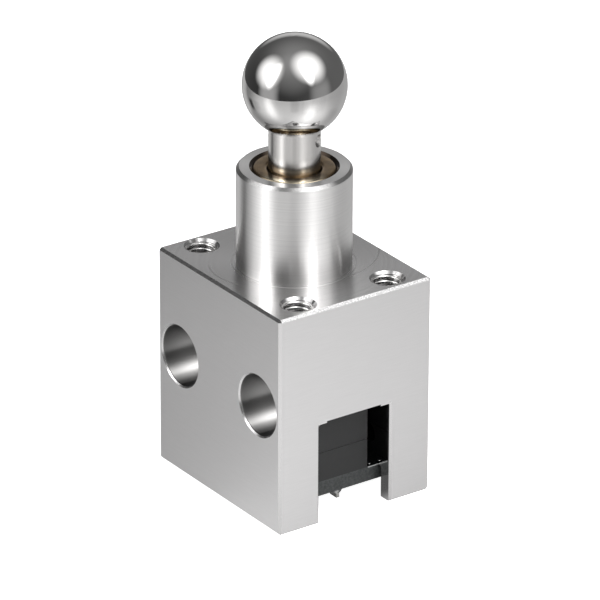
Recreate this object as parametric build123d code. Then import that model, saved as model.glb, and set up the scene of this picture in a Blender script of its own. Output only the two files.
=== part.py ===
from build123d import *

import math
import os

# Nozzle calibration tool: a ball-ended pin slides in a bronze bushing in the collar of an
# aluminium block and presses a small snap switch on a circuit board inside the block.
# Millimetres. The origin is at the middle of the block's underside, on the pin's axis.
# +Z is up, -Y is the side with the window that shows the switch, -X the counterbored side.

# Switch: a subminiature snap switch with three legs
terminal_pitch = 5.08
terminal_end_margin = 1.32
switch_width = 5.8
switch_height = 6.5
switch_base_height = 3.04
plunger_offset = 1.8
seam_bevel = 0.06
cover_wall = 0.6
cover_roof = 0.8
mount_hole_diameter = 2.0
mount_hole_inset = 3.15
mount_hole_height = 1.75
terminal_width = 1.1
terminal_thickness = 0.35
terminal_foot_gap = 0.5
contact_strip_width = 1.2
contact_strip_thickness = 0.3
contact_diameter = 0.9
contact_height = 0.25
contact_end_margin = 0.28
contact_touch_gap = 0.04
rivet_head_height = 0.2
rivet_shank_diameter = 0.5
blade_width = 1.2
blade_thickness = 0.15
blade_end_margin = 0.1
blade_flip_degrees = 3.0
plunger_length = 1.6
plunger_width = 2.8
plunger_corner_radius = 0.5
plunger_protrusion = 0.7
plunger_gap = 0.1
plunger_flange = 0.35
plunger_flange_thickness = 0.5
plunger_nose = 0.15
flange_roof_gap = 0.05
leaf_width = 0.8
leaf_thickness = 0.1
leaf_foot = 0.4
leaf_reach = 2.0
leaf_top_gap = 0.02

# Circuit board, its solder, screws and lead connector
board_thickness = 1.5
board_lift = 1.75
board_clearance = 0.1
board_front_gap = 0.55
board_corner_radius = 1.0
solder_base_radius = 0.95
solder_top_radius = 0.6
solder_height = 0.75
terminal_hole_gap = 0.08
board_screw_diameter = 2.0
board_screw_length = 5.0
board_screw_hole_gap = 0.15
board_screw_end_gap = 0.7
board_screw_head_diameter = 3.2
board_screw_head_height = 1.2
board_screw_socket = 1.3
board_screw_socket_depth = 0.6
board_screw_wall_gap = 0.15
board_screw_end_inset = 4.35
connector_gap = 0.3
connector_width = 4.6
connector_depth = 3.9
connector_height = 2.9
connector_wall = 0.6
connector_back_wall = 0.9
lead_pin_pitch = 1.5
lead_pin_size = 0.5
lead_pin_setback = 0.7
lead_pin_tail = 0.9
lead_solder_radius = 0.65
lead_solder_height = 0.5

# Probe pin: ball, shaft, washer and screw
shaft_diameter = 5.0
ball_diameter = 10.0
neck_length = 3.95
spigot_diameter = 3.0
spigot_length = 4.0
spigot_end_gap = 0.3
shaft_chamfer = 0.3
dimple_diameter = 1.3
dimple_drop = 0.95
dimple_angle = -60.0
dimple_point_degrees = 90.0
pin_screw_diameter = 3.0
pin_screw_length = 8.0
pin_screw_end_gap = 1.5
pin_screw_head_diameter = 5.7
pin_screw_head_height = 1.65
pin_screw_crown_diameter = 3.2
pin_screw_socket = 2.0
pin_screw_socket_depth = 1.0
washer_thickness = 0.5
washer_overlap = 0.7
washer_bore_gap = 0.1
pin_play = 0.05
stop_gap = 0.1

# Bushing
bushing_wall = 1.5
bushing_clearance = 0.02
bushing_recess = 0.1
bushing_outer_chamfer = 0.12
bushing_inner_chamfer = 0.15

# Housing
leg_width = 4.65
base_wall = 1.45
recess_corner_radius = 1.0
block_height = 22.5
block_chamfer = 0.25
collar_wall = 1.55
collar_height = 10.0
collar_chamfer = 0.3
seat_mouth_chamfer = 0.25
web_thickness = 4.35
web_hole_gap = 0.3
chamber_gap = 0.7
switch_side_gap = 1.2
switch_roof_gap = 0.75
window_corner_radius = 0.3
window_edge_chamfer = 0.2
notch_width = 6.25
notch_shift = -0.17
notch_height = 0.17
notch_depth = 1.9
counterbore_diameter = 6.0
counterbore_chamfer = 0.2
counterbore_web = 0.45
counterbore_edge = 3.65
side_hole_diameter = 3.2
side_hole_web = 0.25
side_hole_chamfer = 0.2
thread_diameter = 3.0
thread_mouth_chamfer = 0.25
thread_runout = 0.8
thread_drill_diameter = 2.5
thread_edge_x = 3.6
thread_edge_y = 2.15
drill_web = 0.35
drill_point_degrees = 118.0

# Heights, stacked up from the surface that the block stands on
board_bottom = board_lift
board_top = board_bottom + board_thickness
seam_z = board_top + switch_base_height
switch_top = board_top + switch_height
cover_roof_under = switch_top - cover_roof
plunger_top = switch_top + plunger_protrusion
flange_top = cover_roof_under - flange_roof_gap
flange_bottom = flange_top - plunger_flange_thickness
plunger_bottom = flange_bottom - plunger_nose
screw_crown_z = plunger_top + pin_play
washer_bottom = screw_crown_z + pin_screw_head_height
shaft_bottom = washer_bottom + washer_thickness
slot_ceiling = switch_top + switch_roof_gap
web_bottom = shaft_bottom + stop_gap
web_top = web_bottom + web_thickness
collar_top = block_height + collar_height
bushing_top = collar_top - bushing_recess
shaft_top = collar_top + neck_length
shaft_radius = shaft_diameter / 2
ball_radius = ball_diameter / 2
ball_centre_z = shaft_top + math.sqrt(ball_radius**2 - shaft_radius**2)

# The switch along Y, with its button on the pin's axis
switch_length = 2 * terminal_pitch + 2 * terminal_end_margin
switch_front = -(switch_length / 2 + plunger_offset)
switch_rear = switch_front + switch_length
switch_middle = (switch_front + switch_rear) / 2
closed_y = switch_middle - terminal_pitch
open_y = switch_middle
common_y = switch_middle + terminal_pitch
mount_hole_z = board_top + mount_hole_height

# The contact set, from the open contact up to the closed one
strip_top = seam_z + contact_strip_thickness
contact_y = closed_y + terminal_width / 2 + contact_end_margin + contact_diameter / 2
pivot_y = common_y - terminal_width / 2
contact_arm = pivot_y - contact_y
contact_gap = contact_arm * math.sin(math.radians(blade_flip_degrees)) + contact_touch_gap
blade_bottom = strip_top + contact_height + contact_gap + rivet_head_height
blade_top = blade_bottom + blade_thickness
closed_contact_bottom = blade_top + rivet_head_height + contact_touch_gap
closed_strip_bottom = closed_contact_bottom + contact_height

# The block round the switch and its board
window_width = switch_width + 2 * switch_side_gap
window_left = -window_width / 2
window_right = window_width / 2
block_width = window_width + 2 * leg_width
half_width = block_width / 2
half_depth = -switch_front + board_front_gap + base_wall
block_depth = 2 * half_depth
recess_half_x = half_width - base_wall
recess_half_y = half_depth - base_wall
board_front = -(recess_half_y - board_front_gap)
board_rear = recess_half_y - board_clearance
board_half_x = recess_half_x - board_clearance
board_screw_x = recess_half_x - board_screw_head_diameter / 2 - board_screw_wall_gap
board_screw_y = recess_half_y - board_screw_end_inset
bushing_radius = shaft_radius + bushing_wall
collar_radius = bushing_radius + collar_wall
web_hole_radius = shaft_radius + web_hole_gap
washer_radius = web_hole_radius + washer_overlap
chamber_radius = washer_radius + chamber_gap
counterbore_radius = counterbore_diameter / 2
side_hole_radius = side_hole_diameter / 2
side_hole_y = half_depth - counterbore_edge
side_hole_z = slot_ceiling + side_hole_web + side_hole_radius
counterbore_depth = half_width + window_left - counterbore_web
thread_x = half_width - thread_edge_x
thread_y = half_depth - thread_edge_y
thread_drill_floor = side_hole_z + counterbore_radius + drill_web

# The lead connector behind the switch
connector_front = switch_rear + connector_gap
connector_rear = connector_front + connector_depth
connector_top = board_top + connector_height
lead_pin_z = board_top + connector_height / 2
lead_pin_y = connector_front + connector_back_wall / 2


def block(x_low, x_high, y_low, y_high, z_low, z_high):
    """A box between two corners."""
    middle = Pos((x_low + x_high) / 2, (y_low + y_high) / 2, (z_low + z_high) / 2)
    return middle * Box(x_high - x_low, y_high - y_low, z_high - z_low)


def post(radius, z_low, z_high, x=0.0, y=0.0):
    """An upright cylinder between two heights."""
    return Pos(x, y, (z_low + z_high) / 2) * Cylinder(radius, z_high - z_low)


def turned(*points):
    """A body turned about the pin's axis from (radius, height) points."""
    profile = make_face(Polyline(*points, close=True))
    return revolve(Plane.XZ * profile, Axis.Z)


def hex_socket(across_flats, z_low, z_high, x=0.0, y=0.0):
    """A hexagonal socket, as a tool to cut with."""
    outline = RegularPolygon(across_flats / 2, 6, major_radius=False)
    return Pos(x, y, z_low) * extrude(outline, z_high - z_low)


def rounded_column(half_x, half_y, radius, z_low, z_high, y=0.0):
    """An upright column with a rounded rectangular section."""
    outline = RectangleRounded(2 * half_x, 2 * half_y, radius)
    return Pos(0, y, z_low) * extrude(outline, z_high - z_low)


def side_hole(radius, x_low, x_high, y, z):
    """A cylinder along X, as a tool to cut with."""
    return Pos((x_low + x_high) / 2, y, z) * Rot(0, 90, 0) * Cylinder(radius, x_high - x_low)


def side_mouth(radius, chamfer_size, x_face, outward, y, z):
    """The cone that bevels a side hole's mouth. outward is 1 on the +X face and -1 on the -X face."""
    cone = Cone(radius, radius + 2 * chamfer_size, 2 * chamfer_size)
    return Pos(x_face, y, z) * Rot(0, 90 * outward, 0) * cone


def tapped_hole(x, y):
    """One of the block's four threaded holes, cut at the thread's outer diameter."""
    radius = thread_diameter / 2
    drill_radius = thread_drill_diameter / 2
    point_height = drill_radius / math.tan(math.radians(drill_point_degrees / 2))
    drill_shoulder = thread_drill_floor + point_height
    thread_floor = drill_shoulder + thread_runout
    mouth_floor = block_height - thread_mouth_chamfer
    mouth_radius = radius + thread_mouth_chamfer
    hole = turned(
        (0, thread_drill_floor),
        (drill_radius, drill_shoulder),
        (drill_radius, thread_floor),
        (radius, thread_floor),
        (radius, mouth_floor),
        (mouth_radius, block_height),
        (mouth_radius, block_height + thread_mouth_chamfer),
        (0, block_height + thread_mouth_chamfer),
    )
    return Pos(x, y, 0) * hole


def window_slot():
    """The slot for the switch, from face to face along Y and open below."""
    slot = block(window_left, window_right, -block_depth, block_depth, -block_height, slot_ceiling)
    return fillet(slot.edges().filter_by(Axis.Y).group_by(Axis.Z)[-1], window_corner_radius)


def window_notch():
    """The shallow step in the top edge of the front window, over the switch."""
    return block(notch_shift - notch_width / 2, notch_shift + notch_width / 2, -block_depth,
                 notch_depth - half_depth, switch_top, slot_ceiling + notch_height)


def window_bevels():
    """Upright square bars that break the window's four standing edges."""
    side = window_edge_chamfer * math.sqrt(2)
    bar = Rot(0, 0, 45) * Box(side, side, 2 * slot_ceiling)
    return [Pos(x, y, 0) * bar for x in (window_left, window_right) for y in (-half_depth, half_depth)]


def screw_places():
    """Where the four screws of the board stand, in plan."""
    return [(x, y) for x in (-board_screw_x, board_screw_x) for y in (-board_screw_y, board_screw_y)]


def make_housing():
    """The block and its collar, one machined piece."""
    body = chamfer(block(-half_width, half_width, -half_depth, half_depth, 0, block_height).edges(),
                   block_chamfer)
    body += turned(
        (0, web_top),
        (collar_radius, web_top),
        (collar_radius, collar_top - collar_chamfer),
        (collar_radius - collar_chamfer, collar_top),
        (0, collar_top),
    )
    body -= turned(
        (0, web_top),
        (bushing_radius, web_top),
        (bushing_radius, collar_top - seat_mouth_chamfer),
        (bushing_radius + seat_mouth_chamfer, collar_top),
        (bushing_radius + seat_mouth_chamfer, collar_top + seat_mouth_chamfer),
        (0, collar_top + seat_mouth_chamfer),
    )
    body -= post(web_hole_radius, seam_z, block_height)
    body -= post(chamber_radius, seam_z, web_bottom)
    body -= window_slot()
    body -= window_notch()
    for bar in window_bevels():
        body -= bar
    body -= rounded_column(recess_half_x, recess_half_y, recess_corner_radius, -board_lift, board_top)
    for y in (-side_hole_y, side_hole_y):
        body -= side_hole(side_hole_radius, -block_width, block_width, y, side_hole_z)
        body -= side_mouth(side_hole_radius, side_hole_chamfer, half_width, 1, y, side_hole_z)
        body -= side_hole(counterbore_radius, -block_width, counterbore_depth - half_width, y, side_hole_z)
        body -= side_mouth(counterbore_radius, counterbore_chamfer, -half_width, -1, y, side_hole_z)
    for x in (-thread_x, thread_x):
        for y in (-thread_y, thread_y):
            body -= tapped_hole(x, y)
    screw_tip = board_bottom + board_screw_length
    for x, y in screw_places():
        body -= post(board_screw_diameter / 2, board_bottom, screw_tip + board_screw_end_gap, x, y)
    return body


def make_guide_bushing():
    """The plain bearing, pressed into the collar down to the web."""
    bore = shaft_radius + bushing_clearance
    return turned(
        (bore + bushing_inner_chamfer, web_top),
        (bushing_radius - bushing_outer_chamfer, web_top),
        (bushing_radius, web_top + bushing_outer_chamfer),
        (bushing_radius, bushing_top - bushing_outer_chamfer),
        (bushing_radius - bushing_outer_chamfer, bushing_top),
        (bore + bushing_inner_chamfer, bushing_top),
        (bore, bushing_top - bushing_inner_chamfer),
        (bore, web_top + bushing_inner_chamfer),
    )


def make_probe_ball():
    """The ball, spot-faced and bored below for the shaft's spigot."""
    ball = Pos(0, 0, ball_centre_z) * Sphere(ball_radius)
    ball -= post(ball_radius, shaft_top - ball_diameter, shaft_top)
    return ball - post(spigot_diameter / 2, shaft_bottom, shaft_top + spigot_length + spigot_end_gap)


def make_probe_shaft():
    """The ground pin: spigot above, tapped below, with a spot-drilled dimple under the ball."""
    spigot_radius = spigot_diameter / 2
    shaft = turned(
        (0, shaft_bottom),
        (shaft_radius - shaft_chamfer, shaft_bottom),
        (shaft_radius, shaft_bottom + shaft_chamfer),
        (shaft_radius, shaft_top),
        (spigot_radius, shaft_top),
        (spigot_radius, shaft_top + spigot_length - shaft_chamfer),
        (spigot_radius - shaft_chamfer, shaft_top + spigot_length),
        (0, shaft_top + spigot_length),
    )
    screw_tip = washer_bottom + pin_screw_length
    shaft -= post(pin_screw_diameter / 2, washer_bottom, screw_tip + pin_screw_end_gap)
    depth = dimple_diameter / 2 / math.tan(math.radians(dimple_point_degrees / 2))
    point = Pos(shaft_radius, 0, 0) * Rot(0, -90, 0) * Cone(dimple_diameter, 0, 2 * depth)
    return shaft - Pos(0, 0, shaft_top - dimple_drop) * Rot(0, 0, dimple_angle) * point


def make_retaining_washer():
    """The washer that stops the pin under the web."""
    ring = post(washer_radius, washer_bottom, shaft_bottom)
    return ring - post(pin_screw_diameter / 2 + washer_bore_gap, washer_bottom, shaft_bottom)


def make_retaining_screw():
    """The button-head screw in the pin's lower end, whose crown presses the switch."""
    socket_top = screw_crown_z + pin_screw_socket_depth
    shank = pin_screw_diameter / 2
    rim_z = washer_bottom - pin_screw_head_height / 4
    screw = turned(
        (0, screw_crown_z),
        (pin_screw_crown_diameter / 2, screw_crown_z),
        (pin_screw_head_diameter / 2, rim_z),
        (pin_screw_head_diameter / 2, washer_bottom),
        (shank, washer_bottom),
        (shank, washer_bottom + pin_screw_length),
        (0, washer_bottom + pin_screw_length),
    )
    return screw - hex_socket(pin_screw_socket, screw_crown_z, socket_top)


def make_terminal(y, top):
    """A switch leg: a flat plate that stands through the base and the board."""
    half_thick = terminal_thickness / 2
    half_wide = terminal_width / 2
    return block(-half_thick, half_thick, y - half_wide, y + half_wide, terminal_foot_gap, top)


def make_strip(y_low, y_high, z_low):
    """The flat strip at a leg's upper end."""
    half_strip = contact_strip_width / 2
    return block(-half_strip, half_strip, y_low, y_high, z_low, z_low + contact_strip_thickness)


def make_common_terminal():
    """The leg whose upper edge carries the blade."""
    seat = blade_bottom - contact_strip_thickness
    leg = make_terminal(common_y, blade_bottom)
    return leg + make_strip(pivot_y, pivot_y + terminal_width, seat)


def make_normally_open_terminal():
    """The middle leg, with a strip along the base under the blade's end."""
    leg = make_terminal(open_y, strip_top)
    strip_end = contact_y - contact_diameter / 2 - blade_end_margin
    return leg + make_strip(strip_end, open_y + terminal_width / 2, seam_z)


def make_normally_closed_terminal():
    """The front leg, whose strip reaches over the blade's end."""
    top = closed_strip_bottom + contact_strip_thickness
    leg = make_terminal(closed_y, top)
    strip_end = contact_y + contact_diameter / 2 + blade_end_margin
    return leg + make_strip(closed_y - terminal_width / 2, strip_end, closed_strip_bottom)


def make_switch_base(terminals):
    """The lower half of the switch case, moulded round its three legs."""
    half = switch_width / 2
    base = block(-half, half, switch_front, switch_rear, board_top, seam_z)
    base = chamfer(base.edges().group_by(Axis.Z)[-1] + base.edges().filter_by(Axis.Z), seam_bevel)
    for y in (switch_front + mount_hole_inset, switch_rear - mount_hole_inset):
        base -= side_hole(mount_hole_diameter / 2, -switch_width, switch_width, y, mount_hole_z)
    for terminal in terminals:
        base -= terminal
    return base


def make_switch_cover():
    """The upper half of the switch case, a cap with an opening for the button."""
    half = switch_width / 2
    cap = block(-half, half, switch_front, switch_rear, seam_z, switch_top)
    cap = chamfer(cap.edges(), seam_bevel)
    cap -= block(cover_wall - half, half - cover_wall, switch_front + cover_wall,
                 switch_rear - cover_wall, seam_z, cover_roof_under)
    return cap - rounded_column(plunger_width / 2 + plunger_gap, plunger_length / 2 + plunger_gap,
                                plunger_corner_radius + plunger_gap, seam_z, switch_top)


def make_switch_plunger():
    """The switch's button, kept in by a flange under the cover's roof."""
    half_x = plunger_width / 2
    half_y = plunger_length / 2
    button = rounded_column(half_x, half_y, plunger_corner_radius, plunger_bottom, plunger_top)
    return button + rounded_column(half_x + plunger_flange, half_y + plunger_flange,
                                   plunger_corner_radius, flange_bottom, flange_top)


def make_moving_blade():
    """The contact blade, from the common leg's edge to the rivet."""
    half = blade_width / 2
    blade_end = contact_y - contact_diameter / 2 - blade_end_margin
    blade = block(-half, half, blade_end, pivot_y + terminal_width, blade_bottom, blade_top)
    return blade - post(rivet_shank_diameter / 2, blade_bottom, blade_top, 0, contact_y)


def make_moving_contact():
    """The rivet at the blade's end, with a contact face above and below."""
    head = contact_diameter / 2
    shank = rivet_shank_diameter / 2
    rivet = turned(
        (0, blade_bottom - rivet_head_height),
        (head, blade_bottom - rivet_head_height),
        (head, blade_bottom),
        (shank, blade_bottom),
        (shank, blade_top),
        (head, blade_top),
        (head, blade_top + rivet_head_height),
        (0, blade_top + rivet_head_height),
    )
    return Pos(0, contact_y, 0) * rivet


def make_spring_leaf():
    """The bowed leaf on the blade that pushes the button back up."""
    crown = plunger_bottom - leaf_top_gap
    under = crown - leaf_thickness
    foot_top = blade_top + leaf_thickness
    inner = leaf_reach - leaf_thickness
    outer = leaf_reach + leaf_foot
    outline = Line((-outer, blade_top), (-inner, blade_top))
    outline += ThreePointArc((-inner, blade_top), (0, under), (inner, blade_top))
    outline += Polyline((inner, blade_top), (outer, blade_top), (outer, foot_top), (leaf_reach, foot_top))
    outline += ThreePointArc((leaf_reach, foot_top), (0, crown), (-leaf_reach, foot_top))
    outline += Polyline((-leaf_reach, foot_top), (-outer, foot_top), (-outer, blade_top))
    return extrude(Plane.YZ * make_face(outline), leaf_width / 2, both=True)


def make_fixed_contact(z_low):
    """A contact disc on its strip."""
    return post(contact_diameter / 2, z_low, z_low + contact_height, 0, contact_y)


def make_lead_pin(x):
    """A bent pin of the lead connector, from its socket down through the board."""
    half = lead_pin_size / 2
    tip = connector_rear - lead_pin_setback
    level = block(x - half, x + half, lead_pin_y - half, tip, lead_pin_z - half, lead_pin_z + half)
    tail = board_bottom - lead_pin_tail
    return level + block(x - half, x + half, lead_pin_y - half, lead_pin_y + half, tail, lead_pin_z)


def make_lead_connector(pins):
    """The socket shell that the lead plugs into from behind."""
    half = connector_width / 2
    shell = block(-half, half, connector_front, connector_rear, board_top, connector_top)
    shell -= block(connector_wall - half, half - connector_wall, connector_front + connector_back_wall,
                   connector_rear, board_top + connector_wall, connector_top - connector_wall)
    for pin in pins:
        shell -= pin
    return shell


def make_circuit_board():
    """The board, drilled for its screws, the switch legs and the lead pins."""
    half_length = (board_rear - board_front) / 2
    middle = (board_rear + board_front) / 2
    board = rounded_column(board_half_x, half_length, board_corner_radius, board_bottom, board_top, middle)
    for x, y in screw_places():
        board -= post(board_screw_diameter / 2 + board_screw_hole_gap, board_bottom, board_top, x, y)
    for y in (closed_y, open_y, common_y):
        hole = math.hypot(terminal_width, terminal_thickness) / 2 + terminal_hole_gap
        board -= post(hole, board_bottom, board_top, 0, y)
    for x in lead_pin_places():
        hole = math.hypot(lead_pin_size, lead_pin_size) / 2 + terminal_hole_gap
        board -= post(hole, board_bottom, board_top, x, lead_pin_y)
    return board


def lead_pin_places():
    """Where the two lead pins stand along X."""
    return (-lead_pin_pitch / 2, lead_pin_pitch / 2)


def make_solder(base_radius, top_radius, height, x, y, leg):
    """A solder cone under the board, round the leg that it holds."""
    cone = Rot(180, 0, 0) * Cone(base_radius, top_radius, height)
    return Pos(x, y, board_bottom - height / 2) * cone - leg


def make_board_screw(x, y):
    """A screw that holds the board up against the housing."""
    head_bottom = board_bottom - board_screw_head_height
    head = board_screw_head_diameter / 2
    shank = board_screw_diameter / 2
    screw = turned(
        (0, head_bottom),
        (head - board_screw_head_height / 2, head_bottom),
        (head, board_bottom - board_screw_head_height / 2),
        (head, board_bottom),
        (shank, board_bottom),
        (shank, board_bottom + board_screw_length),
        (0, board_bottom + board_screw_length),
    )
    screw -= hex_socket(board_screw_socket, head_bottom, head_bottom + board_screw_socket_depth)
    return Pos(x, y, 0) * screw


parts = {
    "housing": make_housing(),
    "guide_bushing": make_guide_bushing(),
    "probe_ball": make_probe_ball(),
    "probe_shaft": make_probe_shaft(),
    "retaining_washer": make_retaining_washer(),
    "retaining_screw": make_retaining_screw(),
}

legs = {
    "normally_closed": make_normally_closed_terminal(),
    "normally_open": make_normally_open_terminal(),
    "common": make_common_terminal(),
}
for name, y in (("normally_closed", closed_y), ("normally_open", open_y), ("common", common_y)):
    parts[name + "_terminal"] = legs[name]
    parts["solder_" + name] = make_solder(
        solder_base_radius, solder_top_radius, solder_height, 0, y, legs[name])

parts["switch_base"] = make_switch_base(legs.values())
parts["switch_cover"] = make_switch_cover()
parts["switch_plunger"] = make_switch_plunger()
parts["moving_blade"] = make_moving_blade()
parts["moving_contact"] = make_moving_contact()
parts["spring_leaf"] = make_spring_leaf()
parts["open_contact"] = make_fixed_contact(strip_top)
parts["closed_contact"] = make_fixed_contact(closed_contact_bottom)
parts["circuit_board"] = make_circuit_board()

lead_pins = [make_lead_pin(x) for x in lead_pin_places()]
parts["lead_connector"] = make_lead_connector(lead_pins)
for number, (x, pin) in enumerate(zip(lead_pin_places(), lead_pins), 1):
    parts[f"lead_pin_{number}"] = pin
    parts[f"solder_lead_{number}"] = make_solder(
        lead_solder_radius, lead_pin_size, lead_solder_height, x, lead_pin_y, pin)

for number, (x, y) in enumerate(screw_places(), 1):
    parts[f"board_screw_{number}"] = make_board_screw(x, y)

os.makedirs("parts", exist_ok=True)
for name, shape in parts.items():
    export_step(shape, f"parts/{name}.step")
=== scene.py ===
import math

import bmesh
import bpy
from mathutils import Matrix, Vector


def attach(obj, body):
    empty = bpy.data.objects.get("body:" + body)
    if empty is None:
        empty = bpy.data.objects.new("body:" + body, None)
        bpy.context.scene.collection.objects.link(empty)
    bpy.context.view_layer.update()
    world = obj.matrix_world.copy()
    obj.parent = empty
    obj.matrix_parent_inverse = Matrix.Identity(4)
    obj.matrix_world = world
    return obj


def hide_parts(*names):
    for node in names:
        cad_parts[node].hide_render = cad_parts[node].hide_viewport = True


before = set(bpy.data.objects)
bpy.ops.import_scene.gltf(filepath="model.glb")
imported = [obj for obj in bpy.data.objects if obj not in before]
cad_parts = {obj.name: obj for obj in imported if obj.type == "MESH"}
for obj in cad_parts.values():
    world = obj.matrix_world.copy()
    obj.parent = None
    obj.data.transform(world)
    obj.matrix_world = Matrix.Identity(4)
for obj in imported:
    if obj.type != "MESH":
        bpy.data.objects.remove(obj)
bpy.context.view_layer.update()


# The camera
# It stands at the photograph's place, far off with a long lens, as in a product studio.
# Its aim, distance and roll were fitted to the block's edges.
MM = 0.001
camera_azimuth = math.radians(-35.10)
camera_elevation = math.radians(25.05)
camera_roll = math.radians(0.232)
camera_distance = 572.1 * MM
camera_aim_height = 20.0 * MM
camera_aim_right = 0.567 * MM
camera_aim_up = -1.368 * MM
camera_lens_mm = 360.4
camera_sensor_mm = 36.0
camera_nearest, camera_farthest = 0.01, 50.0

back = Vector((math.sin(camera_azimuth) * math.cos(camera_elevation),
               -math.cos(camera_azimuth) * math.cos(camera_elevation),
               math.sin(camera_elevation)))
level_right = Vector((math.cos(camera_azimuth), math.sin(camera_azimuth), 0.0))
level_up = back.cross(level_right)
right = math.cos(camera_roll) * level_right + math.sin(camera_roll) * level_up
up = math.cos(camera_roll) * level_up - math.sin(camera_roll) * level_right
stand = Vector((0, 0, camera_aim_height)) + camera_aim_right * right + camera_aim_up * up
stand += camera_distance * back

camera_data = bpy.data.cameras.new("studio_camera")
camera_data.lens = camera_lens_mm
camera_data.sensor_width = camera_sensor_mm
camera_data.clip_start = camera_nearest
camera_data.clip_end = camera_farthest
camera = bpy.data.objects.new("studio_camera", camera_data)
camera.matrix_world = Matrix.Translation(stand) @ Matrix((right, up, back)).transposed().to_4x4()
bpy.context.scene.collection.objects.link(camera)
bpy.context.scene.camera = camera
bpy.context.scene.view_settings.view_transform = "Standard"


# The studio
# A white board under a dim cloth canopy, and two large soft lights with a brighter tall core, each where
# the polished ball mirrors it. A way is an azimuth, from -Y to +X, and a height, in degrees.
board_radius = 195 * MM
board_offset, board_side = 40 * MM, 85.0
board_paint = 0.80
board_front = -28.0
board_reach = 40 * MM
board_slope = (-22 * MM, 38 * MM)
board_level_behind, board_level_front = 0.33, 0.86
board_near, board_far = 35 * MM, 115 * MM
board_level_far = 0.82
board_glow_side, board_glow_half_angle, board_glow_level = 130.0, 75.0, 0.17
# Painted light and shade on the board, which the collar and the pin mirror as upright bands: azimuth,
# half angle and level, and how far out each starts, is full, begins to end and is gone.
collar_part = (46 * MM, 60 * MM, 74 * MM, 94 * MM)
outer_part = (46 * MM, 60 * MM, 900 * MM, 999 * MM)
inner_part = (48 * MM, 16 * MM, 900 * MM, 999 * MM)
painted_board_patches = (
    (-147.5, 9.0, -0.30, collar_part), (-128.0, 13.0, -0.11, collar_part), (-174.0, 18.0, 0.26, outer_part),
    (80.0, 38.0, 0.09, outer_part), (27.0, 10.0, -0.05, outer_part), (-35.0, 12.0, -0.14, outer_part),
    (-7.0, 11.0, 0.12, outer_part), (-130.0, 60.0, -0.10, inner_part))
# The board's glow holds a painted shadow under the block.
shadow_half_sides = (8.75 * MM, 10.2 * MM)
shadow_start, shadow_end, shadow_level = 0.75, 1.08, 0.20
board_gloss = 0.25
board_gloss_roughness = 0.25
canopy_radius = 5.0
canopy_sides, canopy_rows = 96, 48
canopy_bright_side = 75.0
canopy_level_low, canopy_level_side, canopy_level_high = 0.05, 0.17, 0.34
canopy_rise = 3.0
canopy_dark_side, canopy_dark_half_angle, canopy_dark_depth = -30.0, 55.0, 0.25
# Azimuth, height, half angle and level of two glows, then azimuth, half angle and level of two columns.
canopy_halo = (-45.0, 45.0, 55.0, 0.14)
canopy_window = (143.0, 11.0, 30.0, 0.60)
window_squat = Vector((1, 1, 2))
canopy_columns = ((-94.0, 28.0, 0.50), (23.0, 30.0, 0.26))
column_full, column_gone = 0.05, 0.60
light_distance = 1.0
# Azimuth, height, half angles across and up, and strength.
light_places = {
    "soft_light_left": (-110.0, 34.0, 38.0, 36.0, 1.9), "soft_light_left_core": (-94.0, 33.0, 15.0, 32.0, 3.4),
    "soft_light_right": (19.0, 55.0, 41.0, 41.0, 1.9), "soft_light_right_core": (4.0, 46.0, 15.0, 32.0, 3.4)}
light_plateau = 0.15
room_light = 0.25
eased = {"interpolation_type": "SMOOTHSTEP"}


def linear(colour):
    """An sRGB hex colour as the linear colour that a shader takes."""
    channels = [int(colour[i:i + 2], 16) / 255 for i in (1, 3, 5)]
    curve = [c / 12.92 if c <= 0.04045 else ((c + 0.055) / 1.055) ** 2.4 for c in channels]
    return (*curve, 1.0)


def add_node(tree, kind, settings=None, inputs=None):
    """Adds a shader node. Settings are its own options, and inputs are values or outputs, by socket."""
    made = tree.nodes.new("ShaderNode" + kind)
    for name, value in (settings or {}).items():
        setattr(made, name, value)
    for socket, value in (inputs or {}).items():
        if isinstance(value, bpy.types.NodeSocket):
            tree.links.new(value, made.inputs[socket])
        else:
            made.inputs[socket].default_value = value
    return made


def new_material(name):
    """An empty node material and its tree."""
    made = bpy.data.materials.new(name)
    made.use_nodes = True
    made.node_tree.nodes.clear()
    return made, made.node_tree


def dress(material, shader, *nodes):
    """Ends a material with its shader, and puts it on nodes of the CAD."""
    add_node(material.node_tree, "OutputMaterial", inputs={"Surface": shader.outputs[0]})
    for name in nodes:
        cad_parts[name].material_slots[0].material = material


def new_piece(name, mesh, material):
    """An object in the scene for a mesh, with its material."""
    made = bpy.data.objects.new(name, mesh)
    made.data.materials.append(material)
    bpy.context.scene.collection.objects.link(made)
    return made


def finished_mesh(name, made):
    """The mesh of what bmesh has made."""
    mesh = bpy.data.meshes.new(name)
    made.to_mesh(mesh)
    made.free()
    return mesh


def disc_mesh(name, radius, centre=Vector(), sides=96):
    """A flat disc that faces up."""
    mesh = bpy.data.meshes.new(name)
    corners = [centre + radius * Vector((math.cos(math.tau * i / sides), math.sin(math.tau * i / sides), 0))
               for i in range(sides)]
    mesh.from_pydata(corners, [], [list(range(sides))])
    return mesh


def way(azimuth, height):
    """The unit vector towards a direction given in degrees."""
    a, h = math.radians(azimuth), math.radians(height)
    return Vector((math.sin(a) * math.cos(h), -math.cos(a) * math.cos(h), math.sin(h)))


def glow_round(tree, toward, centre, half_angle, level):
    """A soft patch of light: its level in the middle direction, and nothing past the half angle."""
    near = add_node(tree, "VectorMath", {"operation": "DOT_PRODUCT"}, {0: toward, 1: centre})
    return add_node(tree, "MapRange", eased, {
        "Value": near.outputs["Value"], "From Min": math.cos(math.radians(half_angle)), "From Max": 1.0,
        "To Min": 0.0, "To Max": level}).outputs[0]


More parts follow.
